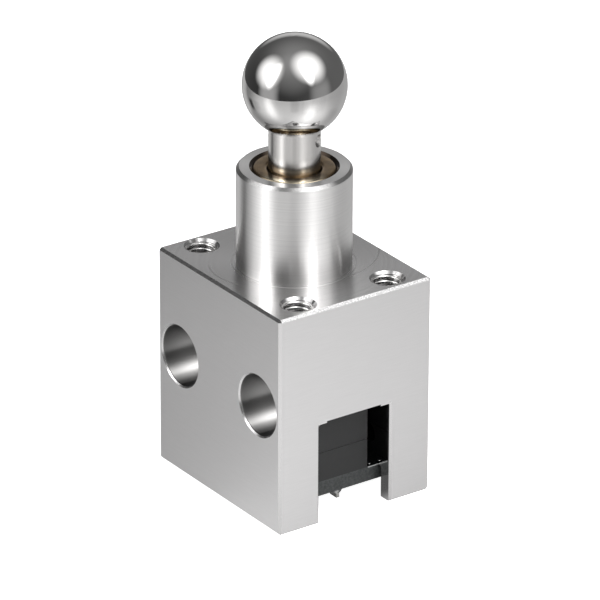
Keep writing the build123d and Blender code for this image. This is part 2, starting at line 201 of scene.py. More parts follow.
white = linear("#FFFFFF")
world = bpy.data.worlds.new("studio_world")
bpy.context.scene.world = world
world.use_nodes = True
world.node_tree.nodes.clear()
tree = world.node_tree
ray = add_node(tree, "LightPath")
seen = add_node(tree, "Math", {"operation": "ADD"},
                {0: ray.outputs["Is Camera Ray"], 1: ray.outputs["Is Glossy Ray"]})
seen = add_node(tree, "Math", {"operation": "ADD", "use_clamp": True},
                {0: seen.outputs[0], 1: ray.outputs["Is Transmission Ray"]})
level = add_node(tree, "MapRange", inputs={"Value": seen.outputs[0], "To Min": room_light, "To Max": 1.0})
glow = add_node(tree, "Background", inputs={"Color": white, "Strength": level.outputs[0]})
add_node(tree, "OutputWorld", inputs={"Surface": glow.outputs[0]})

board_material, tree = new_material("white_board")
place = add_node(tree, "TexCoord").outputs["Object"]
away = add_node(tree, "VectorMath", {"operation": "LENGTH"}, {0: place}).outputs["Value"]
reach = add_node(tree, "Math", {"operation": "MINIMUM"}, {0: away, 1: board_reach})
straight = add_node(tree, "VectorMath", {"operation": "NORMALIZE"}, {0: place})
outward = add_node(tree, "VectorMath", {"operation": "SCALE"},
                   {0: straight.outputs[0], "Scale": reach.outputs[0]})
forward = add_node(tree, "VectorMath", {"operation": "DOT_PRODUCT"},
                   {0: outward.outputs[0], 1: way(board_front, 0)})
shade = add_node(tree, "MapRange", eased, {
    "Value": forward.outputs["Value"], "From Min": board_slope[0], "From Max": board_slope[1],
    "To Min": board_level_behind, "To Max": board_level_front})
fall = add_node(tree, "MapRange", inputs={
    "Value": away, "From Min": board_near, "From Max": board_far, "To Min": 1.0, "To Max": board_level_far})
shade = add_node(tree, "Math", {"operation": "MULTIPLY"}, {0: shade.outputs[0], 1: fall.outputs[0]})
back_glow = glow_round(tree, straight.outputs[0], way(board_glow_side, 0),
                       board_glow_half_angle, board_glow_level)
shade = add_node(tree, "Math", {"operation": "ADD"}, {0: shade.outputs[0], 1: back_glow})
for azimuth, half_angle, level, (none_at, full_at, last_at, gone_at) in painted_board_patches:
    part = glow_round(tree, straight.outputs[0], way(azimuth, 0), half_angle, level)
    for outside, inside in ((none_at, full_at), (gone_at, last_at)):
        there = add_node(tree, "MapRange", eased, {
            "Value": away, "From Min": outside, "From Max": inside, "To Min": 0.0, "To Max": 1.0})
        part = add_node(tree, "Math", {"operation": "MULTIPLY"}, {0: part, 1: there.outputs[0]}).outputs[0]
    shade = add_node(tree, "Math", {"operation": "ADD"}, {0: shade.outputs[0], 1: part})
under = add_node(tree, "VectorMath", {"operation": "ABSOLUTE"}, {0: place})
under = add_node(tree, "VectorMath", {"operation": "DIVIDE"},
                 {0: under.outputs[0], 1: (*shadow_half_sides, 1.0)})
under = add_node(tree, "SeparateXYZ", inputs={0: under.outputs[0]})
under = add_node(tree, "Math", {"operation": "MAXIMUM"}, {0: under.outputs["X"], 1: under.outputs["Y"]})
under = add_node(tree, "MapRange", eased, {
    "Value": under.outputs[0], "From Min": shadow_start, "From Max": shadow_end,
    "To Min": shadow_level, "To Max": 1.0})
shade = add_node(tree, "Math", {"operation": "MULTIPLY"}, {0: shade.outputs[0], 1: under.outputs[0]})
matt = add_node(tree, "BsdfDiffuse", inputs={"Color": (board_paint, board_paint, board_paint, 1.0)})
ray = add_node(tree, "LightPath")
lift = add_node(tree, "Emission", inputs={"Color": white, "Strength": ray.outputs["Is Camera Ray"]})
plain = add_node(tree, "AddShader", inputs={0: matt.outputs[0], 1: lift.outputs[0]})
# For glossy rays the board glows with painted light and shade, with a painted shadow under the block.
lit = add_node(tree, "Emission", inputs={"Color": white, "Strength": shade.outputs[0]})
gloss = add_node(tree, "BsdfGlossy", inputs={
    "Color": (board_gloss, board_gloss, board_gloss, 1.0), "Roughness": board_gloss_roughness})
mirrored = add_node(tree, "AddShader", inputs={0: lit.outputs[0], 1: gloss.outputs[0]})
total = add_node(tree, "MixShader", inputs={
    0: ray.outputs["Is Glossy Ray"], 1: plain.outputs[0], 2: mirrored.outputs[0]})
dress(board_material, total)
board = disc_mesh("studio_board", board_radius, board_offset * way(board_side, 0))
board = new_piece("studio_board", board, board_material)

canopy_material, tree = new_material("canopy_cloth")
toward = add_node(tree, "TexCoord").outputs["Object"]
toward = add_node(tree, "VectorMath", {"operation": "NORMALIZE"}, {0: toward}).outputs[0]
flat_way = add_node(tree, "VectorMath", {"operation": "MULTIPLY"}, {0: toward, 1: (1, 1, 0)})
flat_way = add_node(tree, "VectorMath", {"operation": "NORMALIZE"}, {0: flat_way.outputs[0]}).outputs[0]
rise = add_node(tree, "SeparateXYZ", inputs={0: toward}).outputs["Z"]
side = add_node(tree, "VectorMath", {"operation": "DOT_PRODUCT"}, {0: toward, 1: way(canopy_bright_side, 0)})
low = add_node(tree, "MapRange", inputs={
    "Value": side.outputs["Value"], "From Min": -1.0, "From Max": 1.0,
    "To Min": canopy_level_low, "To Max": canopy_level_side})
dark = glow_round(tree, flat_way, way(canopy_dark_side, 0), canopy_dark_half_angle, canopy_dark_depth)
keep = add_node(tree, "Math", {"operation": "SUBTRACT"}, {0: 1.0, 1: dark})
low = add_node(tree, "Math", {"operation": "MULTIPLY"}, {0: low.outputs[0], 1: keep.outputs[0]})
high = add_node(tree, "Math", {"operation": "MAXIMUM"}, {0: rise, 1: 0.0})
high = add_node(tree, "Math", {"operation": "POWER"}, {0: high.outputs[0], 1: canopy_rise})
level = add_node(tree, "MapRange", inputs={
    "Value": high.outputs[0], "To Min": low.outputs[0], "To Max": canopy_level_high}).outputs[0]
for azimuth, half_angle, strength in canopy_columns:
    column = glow_round(tree, flat_way, way(azimuth, 0), half_angle, strength)
    fade = add_node(tree, "MapRange", eased, {
        "Value": rise, "From Min": column_gone, "From Max": column_full, "To Min": 0.0, "To Max": 1.0})
    column = add_node(tree, "Math", {"operation": "MULTIPLY"}, {0: column, 1: fade.outputs[0]})
    level = add_node(tree, "Math", {"operation": "ADD"}, {0: level, 1: column.outputs[0]}).outputs[0]
squat = add_node(tree, "VectorMath", {"operation": "MULTIPLY"}, {0: toward, 1: window_squat})
squat = add_node(tree, "VectorMath", {"operation": "NORMALIZE"}, {0: squat.outputs[0]}).outputs[0]
window_way = (way(*canopy_window[:2]) * window_squat).normalized()
for patch in (glow_round(tree, squat, window_way, *canopy_window[2:]),
              glow_round(tree, toward, way(*canopy_halo[:2]), *canopy_halo[2:])):
    level = add_node(tree, "Math", {"operation": "ADD"}, {0: level, 1: patch}).outputs[0]
dress(canopy_material, add_node(tree, "Emission", inputs={"Color": white, "Strength": level}))
made = bmesh.new()
bmesh.ops.create_uvsphere(made, u_segments=canopy_sides, v_segments=canopy_rows, radius=canopy_radius)
canopy = new_piece("studio_canopy", finished_mesh("studio_canopy", made), canopy_material)
canopy.visible_camera = False
canopy.visible_diffuse = False
canopy.visible_transmission = False
canopy.visible_shadow = False

light_mesh = disc_mesh("soft_light", 1.0)
for name, (azimuth, height, half_across, half_up, strength) in light_places.items():
    light_material, tree = new_material(name + "_cloth")
    place = add_node(tree, "TexCoord")
    away = add_node(tree, "VectorMath", {"operation": "LENGTH"}, {0: place.outputs["Object"]})
    fade = add_node(tree, "MapRange", eased, {
        "Value": away.outputs["Value"], "From Min": 1.0, "From Max": light_plateau,
        "To Min": 0.0, "To Max": strength})
    glow = add_node(tree, "Emission", inputs={"Color": white, "Strength": fade.outputs[0]})
    clear = add_node(tree, "BsdfTransparent")
    dress(light_material, add_node(tree, "AddShader", inputs={0: glow.outputs[0], 1: clear.outputs[0]}))
    soft_light = new_piece(name, light_mesh.copy(), light_material)
    wide = light_distance * math.tan(math.radians(half_across))
    tall = light_distance * math.tan(math.radians(half_up))
    soft_light.matrix_world = (Matrix.Translation(light_distance * way(azimuth, height))
                               @ (-way(azimuth, height)).to_track_quat("Z", "Y").to_matrix().to_4x4()
                               @ Matrix.Diagonal((wide, tall, 1.0, 1.0)))
    soft_light.visible_camera = False
    soft_light.visible_shadow = False


# The housing
# One piece of bare aluminium: a square block milled all round, with a collar turned on its top, then
# bored for two sunk screws, drilled and tapped. Each face keeps the marks of the tool that cut it.
block_top = 22.5
bore_axis = (6.55, 12.35)
bore_radius = 3.06
bore_end = 8.7
tapped_axis = (5.15, 8.05)
tapped_radius = 1.8
tapped_floor = 15.0
slot_half_width = 4.12
slot_top = 10.7
seat_radius = 4.3
seat_floor, seat_top = 30.0, 40.0
flat_facing, upper_facing, square_facing = 0.97, 0.3, 0.9
edge_depth = 0.6
milled_grey, turned_grey, drilled_grey, seat_painted_shade = "#DCDBDB", "#EAE9E8", "#A8A7A6", "#4A4139"
milled_roughness, edge_roughness, faced_roughness = 0.40, 0.24, 0.26
tapped_roughness, slot_roughness, seat_roughness = 0.17, 0.06, 0.09
turned_roughness, turned_anisotropy = 0.30, 0.92
drilled_roughness, drilled_anisotropy = 0.30, 0.85
quarter_turn = 0.25
# The feed lines of mill and lathe are really 0.02 to 0.05 mm apart, which a pixel of 0.1 mm can't show,
# so they and the torn burrs of the edges are drawn as coarse as that and more.
mill_line, mill_line_length, mill_tones, mill_bump = 0.10, 2.4, (0.985, 1.015), 0.12
burr_size, burr_tones, upright_edge_tone = 0.13, (0.55, 1.15), 1.08
turning_pitch, facing_pitch, turned_tones = 0.14, 0.34, (0.96, 1.03)
chamfer_facing, chamfer_facing_range, chamfer_tear, chamfer_tones = 0.7, 0.15, 0.16, (0.62, 0.86)
# Painted shade darkens the top edges that face -X, and the bores' roof and floor and their walls towards the
# mouth.
painted_edge_shade_facing, painted_edge_shade_tone = (-0.65, -0.35), 0.34
roof_painted_shade_facing, roof_painted_shade_tone = (-0.70, 0.55), 0.22
floor_painted_shade_facing, floor_painted_shade_tone = (-0.52, -0.10), 0.36
mouth_painted_shade_depth, mouth_painted_shade_tone = (-8.6, -5.6), 0.55
ridge_lean = 1.0
# Painted light brightens the top face round its front, and two patches of painted shade darken the collar's
# foot, each an azimuth, a half angle and a depth.
painted_light_centre, painted_light_full, painted_light_end = (-2.6, -7.4), 3.0, 9.0
painted_light_tone, painted_light_outside_tone = 1.37, 0.88
foot_low, foot_high = 0.5, 3.6
foot_painted_shades = ((-38.0, 24.0, 0.46), (8.0, 34.0, 0.28))
# The cutter has left a ring round the collar and two arcs: centre, radius, and the middle and reach of
# the part that shows.
witness_radius, witness_half_width, witness_roughness = 5.93, 0.05, 0.15
sweep_arcs = (((2.07, 1.96), 7.54, (6.4, -3.9), 4.2), ((-2.33, 1.2), 5.53, (-7.6, 1.4), 2.6))
sweep_half_width = 0.07
of_colours = {"data_type": "RGBA"}


def in_mm(tree):
    """The surface point in mm, whole and split, and the surface's own direction, split."""
    place = add_node(tree, "TexCoord")
    point = add_node(tree, "VectorMath", {"operation": "SCALE"},
                     {0: place.outputs["Object"], "Scale": 1 / MM}).outputs[0]
    return (point, add_node(tree, "SeparateXYZ", inputs={0: point}).outputs,
            add_node(tree, "SeparateXYZ", inputs={0: place.outputs["Normal"]}).outputs)


def wander(tree, place, size, low, high, detail=2.0):
    """A value that wanders between two levels, in patches of a real size for a point, or in lines across
    one coordinate."""
    lines = place.type == "VALUE"
    noise = add_node(tree, "TexNoise", {"noise_dimensions": "1D" if lines else "3D"},
                     {"W" if lines else "Vector": place, "Scale": 1 / size, "Detail": detail})
    return add_node(tree, "MapRange", inputs={
        "Value": noise.outputs[0], "From Min": 0.3, "From Max": 0.7, "To Min": low, "To Max": high}).outputs[0]


def distance_to(tree, u, v, centre=(0, 0)):
    """How far two of the point's coordinates are from a centre, in mm."""
    offset = add_node(tree, "CombineXYZ", inputs={"X": u, "Y": v})
    return add_node(tree, "VectorMath", {"operation": "DISTANCE"},
                    {0: offset.outputs[0], 1: (*centre, 0)}).outputs["Value"]


def hole_area(tree, u, v, centre, radius, along, start, end):
    """1 inside a round hole, between two places along its axis."""
    near = add_node(tree, "Math", {"operation": "LESS_THAN"}, {0: distance_to(tree, u, v, centre), 1: radius})
    deep = add_node(tree, "Math", {"operation": "COMPARE"},
                    {0: along, 1: (start + end) / 2, 2: (end - start) / 2})
    both = add_node(tree, "Math", {"operation": "MULTIPLY"}, {0: near.outputs[0], 1: deep.outputs[0]})
    return both.outputs[0]


def toned(tree, colour, lightness):
    """A colour made lighter or darker by a pattern."""
    return add_node(tree, "VectorMath", {"operation": "SCALE"},
                    {0: linear(colour)[:3], "Scale": lightness}).outputs[0]


machined_aluminium, tree = new_material("machined_aluminium")
point, at, facing = in_mm(tree)
across = add_node(tree, "Math", {"operation": "ABSOLUTE"}, {0: at["X"]}).outputs[0]
along = add_node(tree, "Math", {"operation": "ABSOLUTE"}, {0: at["Y"]}).outputs[0]
from_axis = distance_to(tree, at["X"], at["Y"])
on_collar = add_node(tree, "Math", {"operation": "GREATER_THAN"}, {0: at["Z"], 1: block_top + 0.01})
in_bore = hole_area(tree, along, at["Z"], bore_axis, bore_radius, at["X"], -bore_end, bore_end)
in_tapped = hole_area(tree, across, along, tapped_axis, tapped_radius, at["Z"], tapped_floor, block_top + 1)
in_seat = hole_area(tree, at["X"], at["Y"], (0, 0), seat_radius, at["Z"], seat_floor, seat_top)
in_slot = add_node(tree, "Math", {"operation": "LESS_THAN"}, {0: across, 1: slot_half_width})
under = add_node(tree, "Math", {"operation": "LESS_THAN"}, {0: at["Z"], 1: slot_top})
in_slot = add_node(tree, "Math", {"operation": "MULTIPLY"}, {0: in_slot.outputs[0], 1: under.outputs[0]})
upward = add_node(tree, "Math", {"operation": "GREATER_THAN"}, {0: facing["Z"], 1: flat_facing})
high = add_node(tree, "Math", {"operation": "GREATER_THAN"}, {0: at["Z"], 1: block_top - 0.1})
on_top = add_node(tree, "Math", {"operation": "MULTIPLY"}, {0: upward.outputs[0], 1: high.outputs[0]})
wall_facing = add_node(tree, "TexCoord").outputs["Normal"]
square = add_node(tree, "VectorMath", {"operation": "MULTIPLY"}, {0: wall_facing, 1: wall_facing})
square = add_node(tree, "VectorMath", {"operation": "LENGTH"}, {0: square.outputs[0]})
on_edge = add_node(tree, "Math", {"operation": "LESS_THAN"}, {0: square.outputs["Value"], 1: square_facing})

stretched = add_node(tree, "VectorMath", {"operation": "MULTIPLY"},
                     {0: point, 1: (1 / mill_line_length, 1 / mill_line_length, 1 / mill_line)})
milled = wander(tree, stretched.outputs[0], 1.0, *mill_tones, 3.0)
burrs = wander(tree, point, burr_size, *burr_tones, 3.0)
level_edge = add_node(tree, "Math", {"operation": "GREATER_THAN"}, {0: facing["Z"], 1: upper_facing})
burrs = add_node(tree, "Mix", inputs={0: level_edge.outputs[0], 2: upright_edge_tone, 3: burrs})
# Painted shade: the top edges that face -X are darker.
painted_edge_shade = add_node(tree, "MapRange", eased, {
    "Value": facing["X"], "From Min": painted_edge_shade_facing[0], "From Max": painted_edge_shade_facing[1],
    "To Min": painted_edge_shade_tone, "To Max": 1.0})
upper = add_node(tree, "Math", {"operation": "GREATER_THAN"}, {0: at["Z"], 1: block_top - edge_depth})
upper = add_node(tree, "Math", {"operation": "MULTIPLY"}, {0: upper.outputs[0], 1: level_edge.outputs[0]})
painted_edge_shade = add_node(tree, "Mix", inputs={0: upper.outputs[0], 2: 1.0, 3: painted_edge_shade.outputs[0]})
burrs = add_node(tree, "Math", {"operation": "MULTIPLY"}, {0: burrs.outputs[0], 1: painted_edge_shade.outputs[0]})
lightness = add_node(tree, "Mix", inputs={0: on_edge.outputs[0], 2: milled, 3: burrs.outputs[0]})
roughness = add_node(tree, "Mix", inputs={0: on_edge.outputs[0], 2: milled_roughness, 3: edge_roughness})
bump = add_node(tree, "Bump", inputs={"Strength": mill_bump, "Distance": 0.01 * MM, "Height": milled})
satin = add_node(tree, "BsdfPrincipled", inputs={
    "Base Color": toned(tree, milled_grey, lightness.outputs[0]), "Metallic": 1.0,
    "Roughness": roughness.outputs[0], "Normal": bump.outputs[0]})

roughness = add_node(tree, "Mix", inputs={0: in_slot.outputs[0], 2: tapped_roughness, 3: slot_roughness})
roughness = add_node(tree, "Mix", inputs={0: in_seat, 2: roughness.outputs[0], 3: seat_roughness})
# The seat's wall above the bushing is a painted shade, dark brown.
tone = add_node(tree, "Mix", of_colours, {0: in_seat, 6: linear(milled_grey), 7: linear(seat_painted_shade)})
fine = add_node(tree, "BsdfPrincipled", inputs={
    "Base Color": tone.outputs[2], "Metallic": 1.0, "Roughness": roughness.outputs[0]})

across_hole = add_node(tree, "VectorMath", {"operation": "CROSS_PRODUCT"}, {0: wall_facing, 1: (1, 0, 0)})
ridge = add_node(tree, "VectorMath", {"operation": "ADD"}, {0: wall_facing, 1: (-ridge_lean, 0, 0)})
ridge = add_node(tree, "VectorMath", {"operation": "NORMALIZE"}, {0: ridge.outputs[0]})
# Painted shade in the bores: the roof, the walls facing +Y and the part near the mouth are darker.
painted_bore_shade = 1.0
for place, (start, end), low, high in ((facing["Z"], roof_painted_shade_facing, roof_painted_shade_tone, 1.0),
                                       (facing["Y"], floor_painted_shade_facing, 1.0, floor_painted_shade_tone),
                                       (at["X"], mouth_painted_shade_depth, mouth_painted_shade_tone, 1.0)):
    painted_shade_part = add_node(tree, "MapRange", eased, {
        "Value": place, "From Min": start, "From Max": end, "To Min": low, "To Max": high})
    painted_bore_shade = add_node(tree, "Math", {"operation": "MULTIPLY"}, {0: painted_bore_shade, 1: painted_shade_part.outputs[0]}).outputs[0]
drilled = add_node(tree, "BsdfPrincipled", inputs={
    "Base Color": toned(tree, drilled_grey, painted_bore_shade), "Metallic": 1.0, "Roughness": drilled_roughness,
    "Anisotropic": drilled_anisotropy, "Anisotropic Rotation": quarter_turn,
    "Tangent": across_hole.outputs[0], "Normal": ridge.outputs[0]})

# Painted light: the top face is lighter round its front and darker further off.
painted_light = add_node(tree, "MapRange", eased, {
    "Value": distance_to(tree, at["X"], at["Y"], painted_light_centre), "From Min": painted_light_full,
    "From Max": painted_light_end, "To Min": painted_light_tone, "To Max": painted_light_outside_tone})
rings = wander(tree, from_axis, facing_pitch, *turned_tones, 4.0)
rings = add_node(tree, "Math", {"operation": "MULTIPLY"}, {0: rings, 1: painted_light.outputs[0]}).outputs[0]
grooves = add_node(tree, "Math", {"operation": "ADD"}, {0: at["Z"], 1: from_axis})
grooves = wander(tree, grooves.outputs[0], turning_pitch, *turned_tones)
# Painted shade: two patches darken the collar's foot, by the way its wall faces.
foot = add_node(tree, "MapRange", eased, {
    "Value": at["Z"], "From Min": block_top + foot_high, "From Max": block_top + foot_low,
    "To Min": 0.0, "To Max": 1.0})
for azimuth, half_angle, depth in foot_painted_shades:
    foot_painted_shade = add_node(tree, "Math", {"operation": "MULTIPLY"}, {
        0: glow_round(tree, wall_facing, way(azimuth, 0), half_angle, depth), 1: foot.outputs[0]})
    foot_painted_shade = add_node(tree, "Math", {"operation": "SUBTRACT"}, {0: 1.0, 1: foot_painted_shade.outputs[0]})
    grooves = add_node(tree, "Math", {"operation": "MULTIPLY"}, {0: grooves, 1: foot_painted_shade.outputs[0]}).outputs[0]
tone = add_node(tree, "Mix", of_colours, {
    0: on_collar.outputs[0], 6: toned(tree, milled_grey, rings), 7: toned(tree, turned_grey, grooves)})
leaning = add_node(tree, "Math", {"operation": "COMPARE"},
                   {0: facing["Z"], 1: chamfer_facing, 2: chamfer_facing_range})
torn = wander(tree, point, chamfer_tear, *chamfer_tones, 3.0)
tone = add_node(tree, "Mix", of_colours, {
    0: leaning.outputs[0], 6: tone.outputs[2], 7: toned(tree, turned_grey, torn)})
witness = add_node(tree, "Math", {"operation": "COMPARE"},
                   {0: from_axis, 1: witness_radius, 2: witness_half_width})
for centre, radius, middle, reach in sweep_arcs:
    arc = add_node(tree, "Math", {"operation": "COMPARE"}, {
        0: distance_to(tree, at["X"], at["Y"], centre), 1: radius, 2: sweep_half_width})
    near = add_node(tree, "Math", {"operation": "LESS_THAN"}, {
        0: distance_to(tree, at["X"], at["Y"], middle), 1: reach})
    arc = add_node(tree, "Math", {"operation": "MULTIPLY"}, {0: arc.outputs[0], 1: near.outputs[0]})
    witness = add_node(tree, "Math", {"operation": "MAXIMUM"}, {0: witness.outputs[0], 1: arc.outputs[0]})
witness = add_node(tree, "Math", {"operation": "MULTIPLY"}, {0: witness.outputs[0], 1: on_top.outputs[0]})
roughness = add_node(tree, "Mix", inputs={0: on_collar.outputs[0], 2: faced_roughness, 3: turned_roughness})
roughness = add_node(tree, "Math", {"operation": "MULTIPLY_ADD"},
                     {0: witness.outputs[0], 1: witness_roughness, 2: roughness.outputs[0]})
around = add_node(tree, "Tangent", {"direction_type": "RADIAL", "axis": "Z"})
turned = add_node(tree, "BsdfPrincipled", inputs={
    "Base Color": tone.outputs[2], "Metallic": 1.0, "Roughness": roughness.outputs[0],
    "Anisotropic": turned_anisotropy, "Anisotropic Rotation": quarter_turn, "Tangent": around.outputs[0]})

faced = add_node(tree, "Math", {"operation": "MAXIMUM"}, {0: on_collar.outputs[0], 1: on_top.outputs[0]})
cut_fine = in_seat
for area in (in_tapped, in_slot.outputs[0]):
    cut_fine = add_node(tree, "Math", {"operation": "MAXIMUM"}, {0: cut_fine, 1: area}).outputs[0]
whole = satin
for area, finish in ((faced.outputs[0], turned), (cut_fine, fine), (in_bore, drilled)):
    whole = add_node(tree, "MixShader", inputs={0: area, 1: whole.outputs[0], 2: finish.outputs[0]})
dress(machined_aluminium, whole, "housing")

# The threads of the four top holes
# M3 turns cut into the aluminium with a tap, bright from the cut, with a pitch of 0.5 mm. The hole's
# countersink cuts the first turns down to its own cone, and they run out at the hole's floor.
thread_pitch = 0.5
thread_root_radius = 1.53
thread_crest_radius = 1.24
thread_floor = 17.49
thread_mouth = 22.40
thread_flat = thread_pitch / 6
thread_steps = 48
run_out_turns, run_out_share = 0.5, 0.2
countersink_radius = 1.68
tapped_grey, thread_roughness = "#F4F3F2", 0.22
# Painted shade darkens the roots below the first turns. The tap's tears are finer than this in a real thread.
thread_tear, thread_tones = 0.11, (0.88, 1.03)
root_shade_from, root_shade_to, root_shade_tone, root_shade_top = 1.30, 1.47, 0.22, 22.03


def thread_mesh(name):
    """A ridge that winds up the wall of a tapped hole, on the Z axis."""
    turns = (thread_mouth - thread_floor) / thread_pitch
    made = bmesh.new()
    rows = []
    for i in range(round(turns * thread_steps) + 1):
        turn = math.tau * i / thread_steps
        height = thread_floor + thread_pitch * i / thread_steps
        run_out = min(1.0, i / thread_steps / run_out_turns)
        crest = thread_root_radius - (thread_root_radius - thread_crest_radius) * run_out
        half_root = (thread_pitch / 2 - thread_flat) * (run_out_share + (1 - run_out_share) * run_out)
        half_crest = thread_flat / 2
        middle = (thread_root_radius + crest) / 2
        half_middle = (half_root + half_crest) / 2
        profile = [(thread_root_radius, -half_root), (middle, -half_middle), (crest, -half_crest),
                   (crest, half_crest), (middle, half_middle), (thread_root_radius, half_root)]
        rows.append([])
        for radius, offset in profile:
            cone = countersink_radius - (block_top - height - offset)
            r = min(max(radius, cone), thread_root_radius)
            rows[-1].append(made.verts.new((r * math.cos(turn) * MM, r * math.sin(turn) * MM,
                                            (height + offset) * MM)))
    sides = len(rows[0])
    for low, high in zip(rows, rows[1:]):
        for j in range(sides):
            k = (j + 1) % sides
            made.faces.new((low[j], high[j], high[k], low[k])).smooth = j < sides - 1
    made.faces.new(rows[0])
    made.faces.new(rows[-1][::-1])
    bmesh.ops.recalc_face_normals(made, faces=made.faces)
    return finished_mesh(name, made)


tapped_aluminium, tree = new_material("tapped_aluminium")
point, at, facing = in_mm(tree)
# Painted shade in the thread's roots below the first turns.
painted_root_shade = add_node(tree, "MapRange", eased, {
    "Value": distance_to(tree, at["X"], at["Y"]), "From Min": root_shade_from, "From Max": root_shade_to,
    "To Min": 1.0, "To Max": root_shade_tone})
below = add_node(tree, "Math", {"operation": "LESS_THAN"}, {0: at["Z"], 1: root_shade_top})
painted_root_shade = add_node(tree, "Mix", inputs={0: below.outputs[0], 2: 1.0, 3: painted_root_shade.outputs[0]})
tone = add_node(tree, "Math", {"operation": "MULTIPLY"},
                {0: wander(tree, point, thread_tear, *thread_tones), 1: painted_root_shade.outputs[0]})
shader = add_node(tree, "BsdfPrincipled", inputs={
    "Base Color": toned(tree, tapped_grey, tone.outputs[0]), "Metallic": 1.0, "Roughness": thread_roughness})
dress(tapped_aluminium, shader)
for number, (side, end) in enumerate(((-1, -1), (1, -1), (1, 1), (-1, 1)), 1):
    thread = new_piece("thread_%d" % number, thread_mesh("thread_%d" % number), tapped_aluminium)
    thread.location = (side * tapped_axis[0] * MM, end * tapped_axis[1] * MM, 0)
    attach(thread, "frame")

# The guide bushing
# A plain bearing pressed and sintered from bronze powder, soaked in oil and pushed into the collar. The
# press leaves both edges of its mouth round, and the oil darkens it to a brown gold with fine pores.
bushing_bore = 2.52
bushing_outside = 4.0
bushing_bottom = 17.1
bushing_top = 32.4
bushing_chamfer = 0.12
mouth_wide, mouth_deep = 0.34, 0.42
shoulder_wide, shoulder_deep = 0.24, 0.30
bushing_arc_steps = 8
bushing_sides = 160
sharp_turn = math.radians(25)
bronze_dark, bronze_light, bronze_painted_highlight = "#5C4C3A", "#937A56", "#F4E8CF"
bronze_roughness, pore_bump = 0.18, 0.15
# Real pores are 0.02 to 0.05 mm wide and are drawn coarser, to show. The rim has a painted highlight in front,
# a painted reflection of the shaft's bright bands.
bronze_pore, bronze_patch = 0.12, 1.2
painted_highlight_side, painted_highlight_spread, painted_highlight_radius = -36.0, (0.50, 0.97), (3.0, 3.7)


def lathed_mesh(name, profile, sides):
    """A closed ring turned from a profile of radius and height in mm, sharp where it turns hard."""
    made = bmesh.new()
    rows = [[made.verts.new((r * math.cos(math.tau * j / sides) * MM, r * math.sin(math.tau * j / sides) * MM,
                             z * MM)) for j in range(sides)] for r, z in profile]
    for i, low in enumerate(rows):
        high = rows[(i + 1) % len(rows)]
        for j in range(sides):
            k = (j + 1) % sides
            made.faces.new((low[j], low[k], high[k], high[j])).smooth = True
    bmesh.ops.recalc_face_normals(made, faces=made.faces)
    for line in made.edges:
        line.smooth = line.calc_face_angle() < sharp_turn
    return finished_mesh(name, made)


sintered_bronze, tree = new_material("sintered_bronze")
point, at, facing = in_mm(tree)
pores = wander(tree, point, bronze_pore, 0.0, 1.0, 3.0)
oiled = wander(tree, point, bronze_patch, 0.0, 1.0, 1.0)
blotches = add_node(tree, "Mix", inputs={0: 0.5, 2: pores, 3: oiled})
tone = add_node(tree, "Mix", of_colours, {
    0: blotches.outputs[0], 6: linear(bronze_dark), 7: linear(bronze_light)})
# A painted highlight on the rim's front, standing for the shaft's bands mirrored.
outer = add_node(tree, "MapRange", eased, {
    "Value": distance_to(tree, at["X"], at["Y"]), "From Min": painted_highlight_radius[0], "From Max": painted_highlight_radius[1]})
to_side = add_node(tree, "VectorMath", {"operation": "MULTIPLY"}, {0: point, 1: (1, 1, 0)})
to_side = add_node(tree, "VectorMath", {"operation": "NORMALIZE"}, {0: to_side.outputs[0]})
to_side = add_node(tree, "VectorMath", {"operation": "DOT_PRODUCT"},
                   {0: to_side.outputs[0], 1: way(painted_highlight_side, 0)})
to_side = add_node(tree, "MapRange", eased, {
    "Value": to_side.outputs["Value"], "From Min": painted_highlight_spread[0], "From Max": painted_highlight_spread[1]})
painted_rim_highlight = add_node(tree, "Math", {"operation": "MULTIPLY"}, {0: outer.outputs[0], 1: to_side.outputs[0]})
tone = add_node(tree, "Mix", of_colours, {0: painted_rim_highlight.outputs[0], 6: tone.outputs[2], 7: linear(bronze_painted_highlight)})
bump = add_node(tree, "Bump", inputs={"Strength": pore_bump, "Distance": 0.01 * MM, "Height": pores})
shader = add_node(tree, "BsdfPrincipled", inputs={
    "Base Color": tone.outputs[2], "Metallic": 1.0, "Roughness": bronze_roughness, "Normal": bump.outputs[0]})
dress(sintered_bronze, shader)

quarter = [math.pi / 2 * i / bushing_arc_steps for i in range(bushing_arc_steps + 1)]
profile = [(bushing_bore, bushing_bottom + bushing_chamfer), (bushing_bore + bushing_chamfer, bushing_bottom),
           (bushing_outside - bushing_chamfer, bushing_bottom),
           (bushing_outside, bushing_bottom + bushing_chamfer)]
profile += [(bushing_outside - shoulder_wide * (1 - math.cos(a)),
             bushing_top - shoulder_deep * (1 - math.sin(a))) for a in quarter]
profile += [(bushing_bore + mouth_wide * (1 - math.sin(a)),
             bushing_top - mouth_deep * (1 - math.cos(a))) for a in quarter]
bushing = lathed_mesh("guide_bushing_turned", profile, bushing_sides)
bushing = new_piece("guide_bushing_turned", bushing, sintered_bronze)
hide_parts("guide_bushing")
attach(bushing, "frame")

# The probe shaft
# A 5 mm pin of hardened steel, ground between wheels to a fine finish that runs round it, so that it
# mirrors in sharp upright bands. A drill has spotted a small dimple in its side under the ball.
shaft_grey, shaft_roughness, shaft_anisotropy = "#CDCBC9", 0.155, 0.85
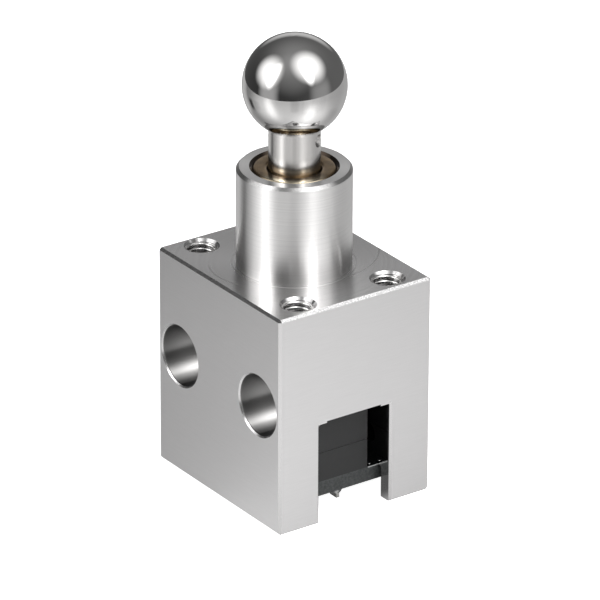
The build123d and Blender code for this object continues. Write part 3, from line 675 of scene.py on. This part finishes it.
# Real grinding lines are about 0.01 mm apart and are drawn as coarse as the render can show.
ground_line, ground_tones = 0.08, (0.96, 1.03)
dimple_inside, dimple_tone, dimple_roughness = 2.48, 0.62, 0.42
ground_steel, tree = new_material("ground_steel")
point, at, facing = in_mm(tree)
around = add_node(tree, "Tangent", {"direction_type": "RADIAL", "axis": "Z"})
sunk = add_node(tree, "Math", {"operation": "LESS_THAN"},
                {0: distance_to(tree, at["X"], at["Y"]), 1: dimple_inside})
tone = add_node(tree, "Mix", inputs={
    0: sunk.outputs[0], 2: wander(tree, at["Z"], ground_line, *ground_tones), 3: dimple_tone})
roughness = add_node(tree, "Mix", inputs={0: sunk.outputs[0], 2: shaft_roughness, 3: dimple_roughness})
shader = add_node(tree, "BsdfPrincipled", inputs={
    "Base Color": toned(tree, shaft_grey, tone.outputs[0]), "Metallic": 1.0, "Roughness": roughness.outputs[0],
    "Anisotropic": shaft_anisotropy, "Anisotropic Rotation": quarter_turn, "Tangent": around.outputs[0]})
dress(ground_steel, shader, "probe_shaft")

# The probe ball
# A 10 mm bearing ball of chrome steel, lapped and polished to a mirror, pressed on the pin's spigot.
# It shows the whole studio, with only a trace of haze.
ball_grey, haze_patch, haze_roughness = "#C9C8C7", 0.7, (0.035, 0.055)
polished_steel, tree = new_material("polished_steel")
point, at, facing = in_mm(tree)
shader = add_node(tree, "BsdfPrincipled", inputs={
    "Base Color": linear(ball_grey), "Metallic": 1.0,
    "Roughness": wander(tree, point, haze_patch, *haze_roughness)})
dress(polished_steel, shader, "probe_ball")

# The washer and the screws
# Plain steel fasteners with a thin zinc plating, dull and slightly mottled. The washer and its screw
# stop the pin in the bushing, and four more screws hold the board in its recess.
zinc_grey, zinc_grain, zinc_tones, zinc_roughness = "#B4B5B8", 0.3, (0.85, 1.05), (0.26, 0.38)
zinc_plated_steel, tree = new_material("zinc_plated_steel")
point, at, facing = in_mm(tree)
shader = add_node(tree, "BsdfPrincipled", inputs={
    "Base Color": toned(tree, zinc_grey, wander(tree, point, zinc_grain, *zinc_tones, 3.0)), "Metallic": 1.0,
    "Roughness": wander(tree, point, zinc_grain, *zinc_roughness, 3.0)})
dress(zinc_plated_steel, shader, "retaining_washer", "retaining_screw", "board_screw_1", "board_screw_2",
      "board_screw_3", "board_screw_4")

# The contact blade and its tension leaf
# Strip of beryllium copper, rolled thin and stamped, which snaps over as the button goes down.
# Rolling leaves fine lines along the strip, and the metal is a warm pink gold.
copper_pink, copper_roughness, rolled_tones = "#D79A6E", 0.28, (0.90, 1.05)
# Real rolling lines are about 0.01 mm apart and are drawn coarser.
rolled_line, rolled_length = 0.05, 2.0
beryllium_copper, tree = new_material("beryllium_copper")
point, at, facing = in_mm(tree)
along = add_node(tree, "VectorMath", {"operation": "MULTIPLY"},
                 {0: point, 1: (1 / rolled_line, 1 / rolled_length, 1 / rolled_line)})
shader = add_node(tree, "BsdfPrincipled", inputs={
    "Base Color": toned(tree, copper_pink, wander(tree, along.outputs[0], 1.0, *rolled_tones)),
    "Metallic": 1.0, "Roughness": copper_roughness})
dress(beryllium_copper, shader, "moving_blade", "spring_leaf")

# The contact buttons
# Rivets and tips of fine silver, headed cold and welded to the strips. Silver is the whitest metal
# here, softly bright, with a trace of tarnish.
silver_dull, silver_clean, silver_roughness, tarnish_patch = "#E2DCCB", "#F0EFEB", 0.22, 0.25
fine_silver, tree = new_material("fine_silver")
point, at, facing = in_mm(tree)
tone = add_node(tree, "Mix", of_colours, {
    0: wander(tree, point, tarnish_patch, 0.0, 1.0, 3.0), 6: linear(silver_dull), 7: linear(silver_clean)})
shader = add_node(tree, "BsdfPrincipled", inputs={
    "Base Color": tone.outputs[2], "Metallic": 1.0, "Roughness": silver_roughness})
dress(fine_silver, shader, "moving_contact", "open_contact", "closed_contact")

# The switch case
# A base and a cover moulded in black glass-filled polyester, closed on a seam halfway up. The mould
# leaves a fine spark-eroded grain, so the plastic is a soft charcoal with little shine.
case_charcoal, case_roughness, case_bump = "#252526", 0.48, 0.35
# Real eroded grain is about 0.05 mm and is drawn a little coarser, to show.
case_grain, case_tones = 0.09, (0.88, 1.10)
case_seam, case_seam_width, case_seam_tone = 6.29, 0.05, 0.3
moulded_polyester, tree = new_material("moulded_black_polyester")
point, at, facing = in_mm(tree)
grain = wander(tree, point, case_grain, *case_tones)
at_seam = add_node(tree, "Math", {"operation": "COMPARE"}, {0: at["Z"], 1: case_seam, 2: case_seam_width})
tone = add_node(tree, "Mix", inputs={0: at_seam.outputs[0], 2: grain, 3: case_seam_tone})
bump = add_node(tree, "Bump", inputs={"Strength": case_bump, "Distance": 0.012 * MM, "Height": grain})
shader = add_node(tree, "BsdfPrincipled", inputs={
    "Base Color": toned(tree, case_charcoal, tone.outputs[0]), "Metallic": 0.0, "Roughness": case_roughness,
    "Normal": bump.outputs[0]})
dress(moulded_polyester, shader, "switch_base", "switch_cover")

# The switch button
# A little plunger moulded in white acetal, which slides through the cover under the pin. Acetal is
# milky and slightly waxy.
acetal_white, acetal_roughness, acetal_cloud, acetal_tones = "#E6E5DF", 0.36, 0.5, (0.96, 1.0)
acetal_milk, acetal_milk_depth = 0.1, 0.4 * MM
milky_acetal, tree = new_material("white_acetal")
point, at, facing = in_mm(tree)
shader = add_node(tree, "BsdfPrincipled", inputs={
    "Base Color": toned(tree, acetal_white, wander(tree, point, acetal_cloud, *acetal_tones)), "Metallic": 0.0,
    "Roughness": acetal_roughness, "Subsurface Weight": acetal_milk, "Subsurface Scale": acetal_milk_depth})
dress(milky_acetal, shader, "switch_plunger")

# The switch's terminals and the lead's pins
# Brass strip and wire, stamped and dipped in tin, which go down through the board. The tin is a pale
# bright grey with a faint ripple where it drained.
tin_grey, tin_roughness, tin_bump, tin_ripple, tin_tones = "#D8D7D3", 0.24, 0.3, 0.25, (0.90, 1.04)
tinned_brass, tree = new_material("tinned_brass")
point, at, facing = in_mm(tree)
ripple = wander(tree, point, tin_ripple, *tin_tones)
bump = add_node(tree, "Bump", inputs={"Strength": tin_bump, "Distance": 0.03 * MM, "Height": ripple})
shader = add_node(tree, "BsdfPrincipled", inputs={
    "Base Color": toned(tree, tin_grey, ripple), "Metallic": 1.0, "Roughness": tin_roughness,
    "Normal": bump.outputs[0]})
dress(tinned_brass, shader, "common_terminal", "normally_open_terminal", "normally_closed_terminal",
      "lead_pin_1", "lead_pin_2")

# The circuit board
# A plate of glass and epoxy, coated with a glossy black lacquer and sawn to size. The sawn edge is a matt
# grey with the layers of its glass cloth, and a pale painted highlight lies along its upper corner beside the
# switch.
lacquer_black, cloth_dark, cloth_light, painted_highlight_pale = "#141616", "#333535", "#4C4F4F", "#C8C9C8"
lacquer_roughness, sawn_roughness, lacquer_bump = 0.22, 0.55, 0.1
lying_facing = 0.9
cloth_layer, cloth_thread = 0.19, 0.22
painted_highlight_from = {"X": 2.95, "Y": -8.15, "Z": 3.15}
lacquered_laminate, tree = new_material("black_lacquered_laminate")
point, at, facing = in_mm(tree)
flatness = add_node(tree, "Math", {"operation": "ABSOLUTE"}, {0: facing["Z"]})
lying = add_node(tree, "Math", {"operation": "GREATER_THAN"}, {0: flatness.outputs[0], 1: lying_facing})
layers = add_node(tree, "VectorMath", {"operation": "MULTIPLY"},
                  {0: point, 1: (1 / cloth_thread, 1 / cloth_thread, 1 / cloth_layer)})
fibre = wander(tree, layers.outputs[0], 1.0, 0.0, 1.0, 3.0)
sawn = add_node(tree, "Mix", of_colours, {0: fibre, 6: linear(cloth_dark), 7: linear(cloth_light)})
tone = add_node(tree, "Mix", of_colours, {0: lying.outputs[0], 6: sawn.outputs[2], 7: linear(lacquer_black)})
# Painted highlight along the board's upper front corner beside the switch.
painted_light = 1.0
for axis, limit in painted_highlight_from.items():
    past = add_node(tree, "Math", {"operation": "LESS_THAN" if axis == "Y" else "GREATER_THAN"},
                    {0: at[axis], 1: limit})
    painted_light = add_node(tree, "Math", {"operation": "MULTIPLY"}, {0: painted_light, 1: past.outputs[0]}).outputs[0]
tone = add_node(tree, "Mix", of_colours, {0: painted_light, 6: tone.outputs[2], 7: linear(painted_highlight_pale)})
roughness = add_node(tree, "Mix", inputs={0: lying.outputs[0], 2: sawn_roughness, 3: lacquer_roughness})
ripple = wander(tree, point, cloth_thread, 0.0, 1.0, 1.0)
bump = add_node(tree, "Bump", inputs={"Strength": lacquer_bump, "Distance": 0.01 * MM, "Height": ripple})
shader = add_node(tree, "BsdfPrincipled", inputs={
    "Base Color": tone.outputs[2], "Metallic": 0.0, "Roughness": roughness.outputs[0],
    "Normal": bump.outputs[0]})
dress(lacquered_laminate, shader, "circuit_board")

# The solder
# Tin solder, flowed round each leg under the board and on a small test pad beside the switch. It
# sets in smooth bright cones with a slight skin.
solder_grey, solder_bump, solder_skin, skin_roughness = "#DDDDDC", 0.3, 0.2, (0.12, 0.24)
pad_place = (3.48, -7.62, 3.25)
pad_radius, pad_height = 0.2, 0.07
pad_rings, pad_sides = 5, 28
bright_solder, tree = new_material("bright_solder")
point, at, facing = in_mm(tree)
skin = wander(tree, point, solder_skin, *skin_roughness)
bump = add_node(tree, "Bump", inputs={"Strength": solder_bump, "Distance": 0.1 * MM, "Height": skin})
shader = add_node(tree, "BsdfPrincipled", inputs={
    "Base Color": linear(solder_grey), "Metallic": 1.0, "Roughness": skin, "Normal": bump.outputs[0]})
dress(bright_solder, shader, "solder_common", "solder_normally_open", "solder_normally_closed", "solder_lead_1",
      "solder_lead_2")

made = bmesh.new()
rings = []
for i in range(pad_rings):
    lean = math.pi / 2 * i / pad_rings
    rings.append([made.verts.new((pad_radius * math.cos(lean) * math.cos(math.tau * j / pad_sides) * MM,
                                  pad_radius * math.cos(lean) * math.sin(math.tau * j / pad_sides) * MM,
                                  pad_height * math.sin(lean) * MM)) for j in range(pad_sides)])
for low, high in zip(rings, rings[1:]):
    for j in range(pad_sides):
        made.faces.new((low[j], low[(j + 1) % pad_sides], high[(j + 1) % pad_sides], high[j]))
crown = made.verts.new((0, 0, pad_height * MM))
for j in range(pad_sides):
    made.faces.new((rings[-1][j], rings[-1][(j + 1) % pad_sides], crown))
made.faces.new(rings[0][::-1])
for face in made.faces:
    face.smooth = len(face.verts) < pad_sides
test_pad = new_piece("test_pad", finished_mesh("test_pad", made), bright_solder)
test_pad.location = Vector(pad_place) * MM
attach(test_pad, "frame")

# The lead connector
# A two-way socket moulded in natural nylon, soldered to the board and open to the back. Nylon is
# creamy and slightly see-through, with a fine matt skin.
nylon_dark, nylon_light, nylon_roughness, nylon_bump = "#DAD5C4", "#E8E4D6", 0.45, 0.1
nylon_milk, nylon_milk_depth, nylon_cloud = 0.12, 0.3 * MM, 0.33
natural_nylon, tree = new_material("natural_nylon")
point, at, facing = in_mm(tree)
skin = wander(tree, point, nylon_cloud, 0.0, 1.0, 3.0)
tone = add_node(tree, "Mix", of_colours, {0: skin, 6: linear(nylon_dark), 7: linear(nylon_light)})
bump = add_node(tree, "Bump", inputs={"Strength": nylon_bump, "Distance": 0.01 * MM, "Height": skin})
shader = add_node(tree, "BsdfPrincipled", inputs={
    "Base Color": tone.outputs[2], "Metallic": 0.0, "Roughness": nylon_roughness,
    "Subsurface Weight": nylon_milk, "Subsurface Scale": nylon_milk_depth, "Normal": bump.outputs[0]})
dress(natural_nylon, shader, "lead_connector")
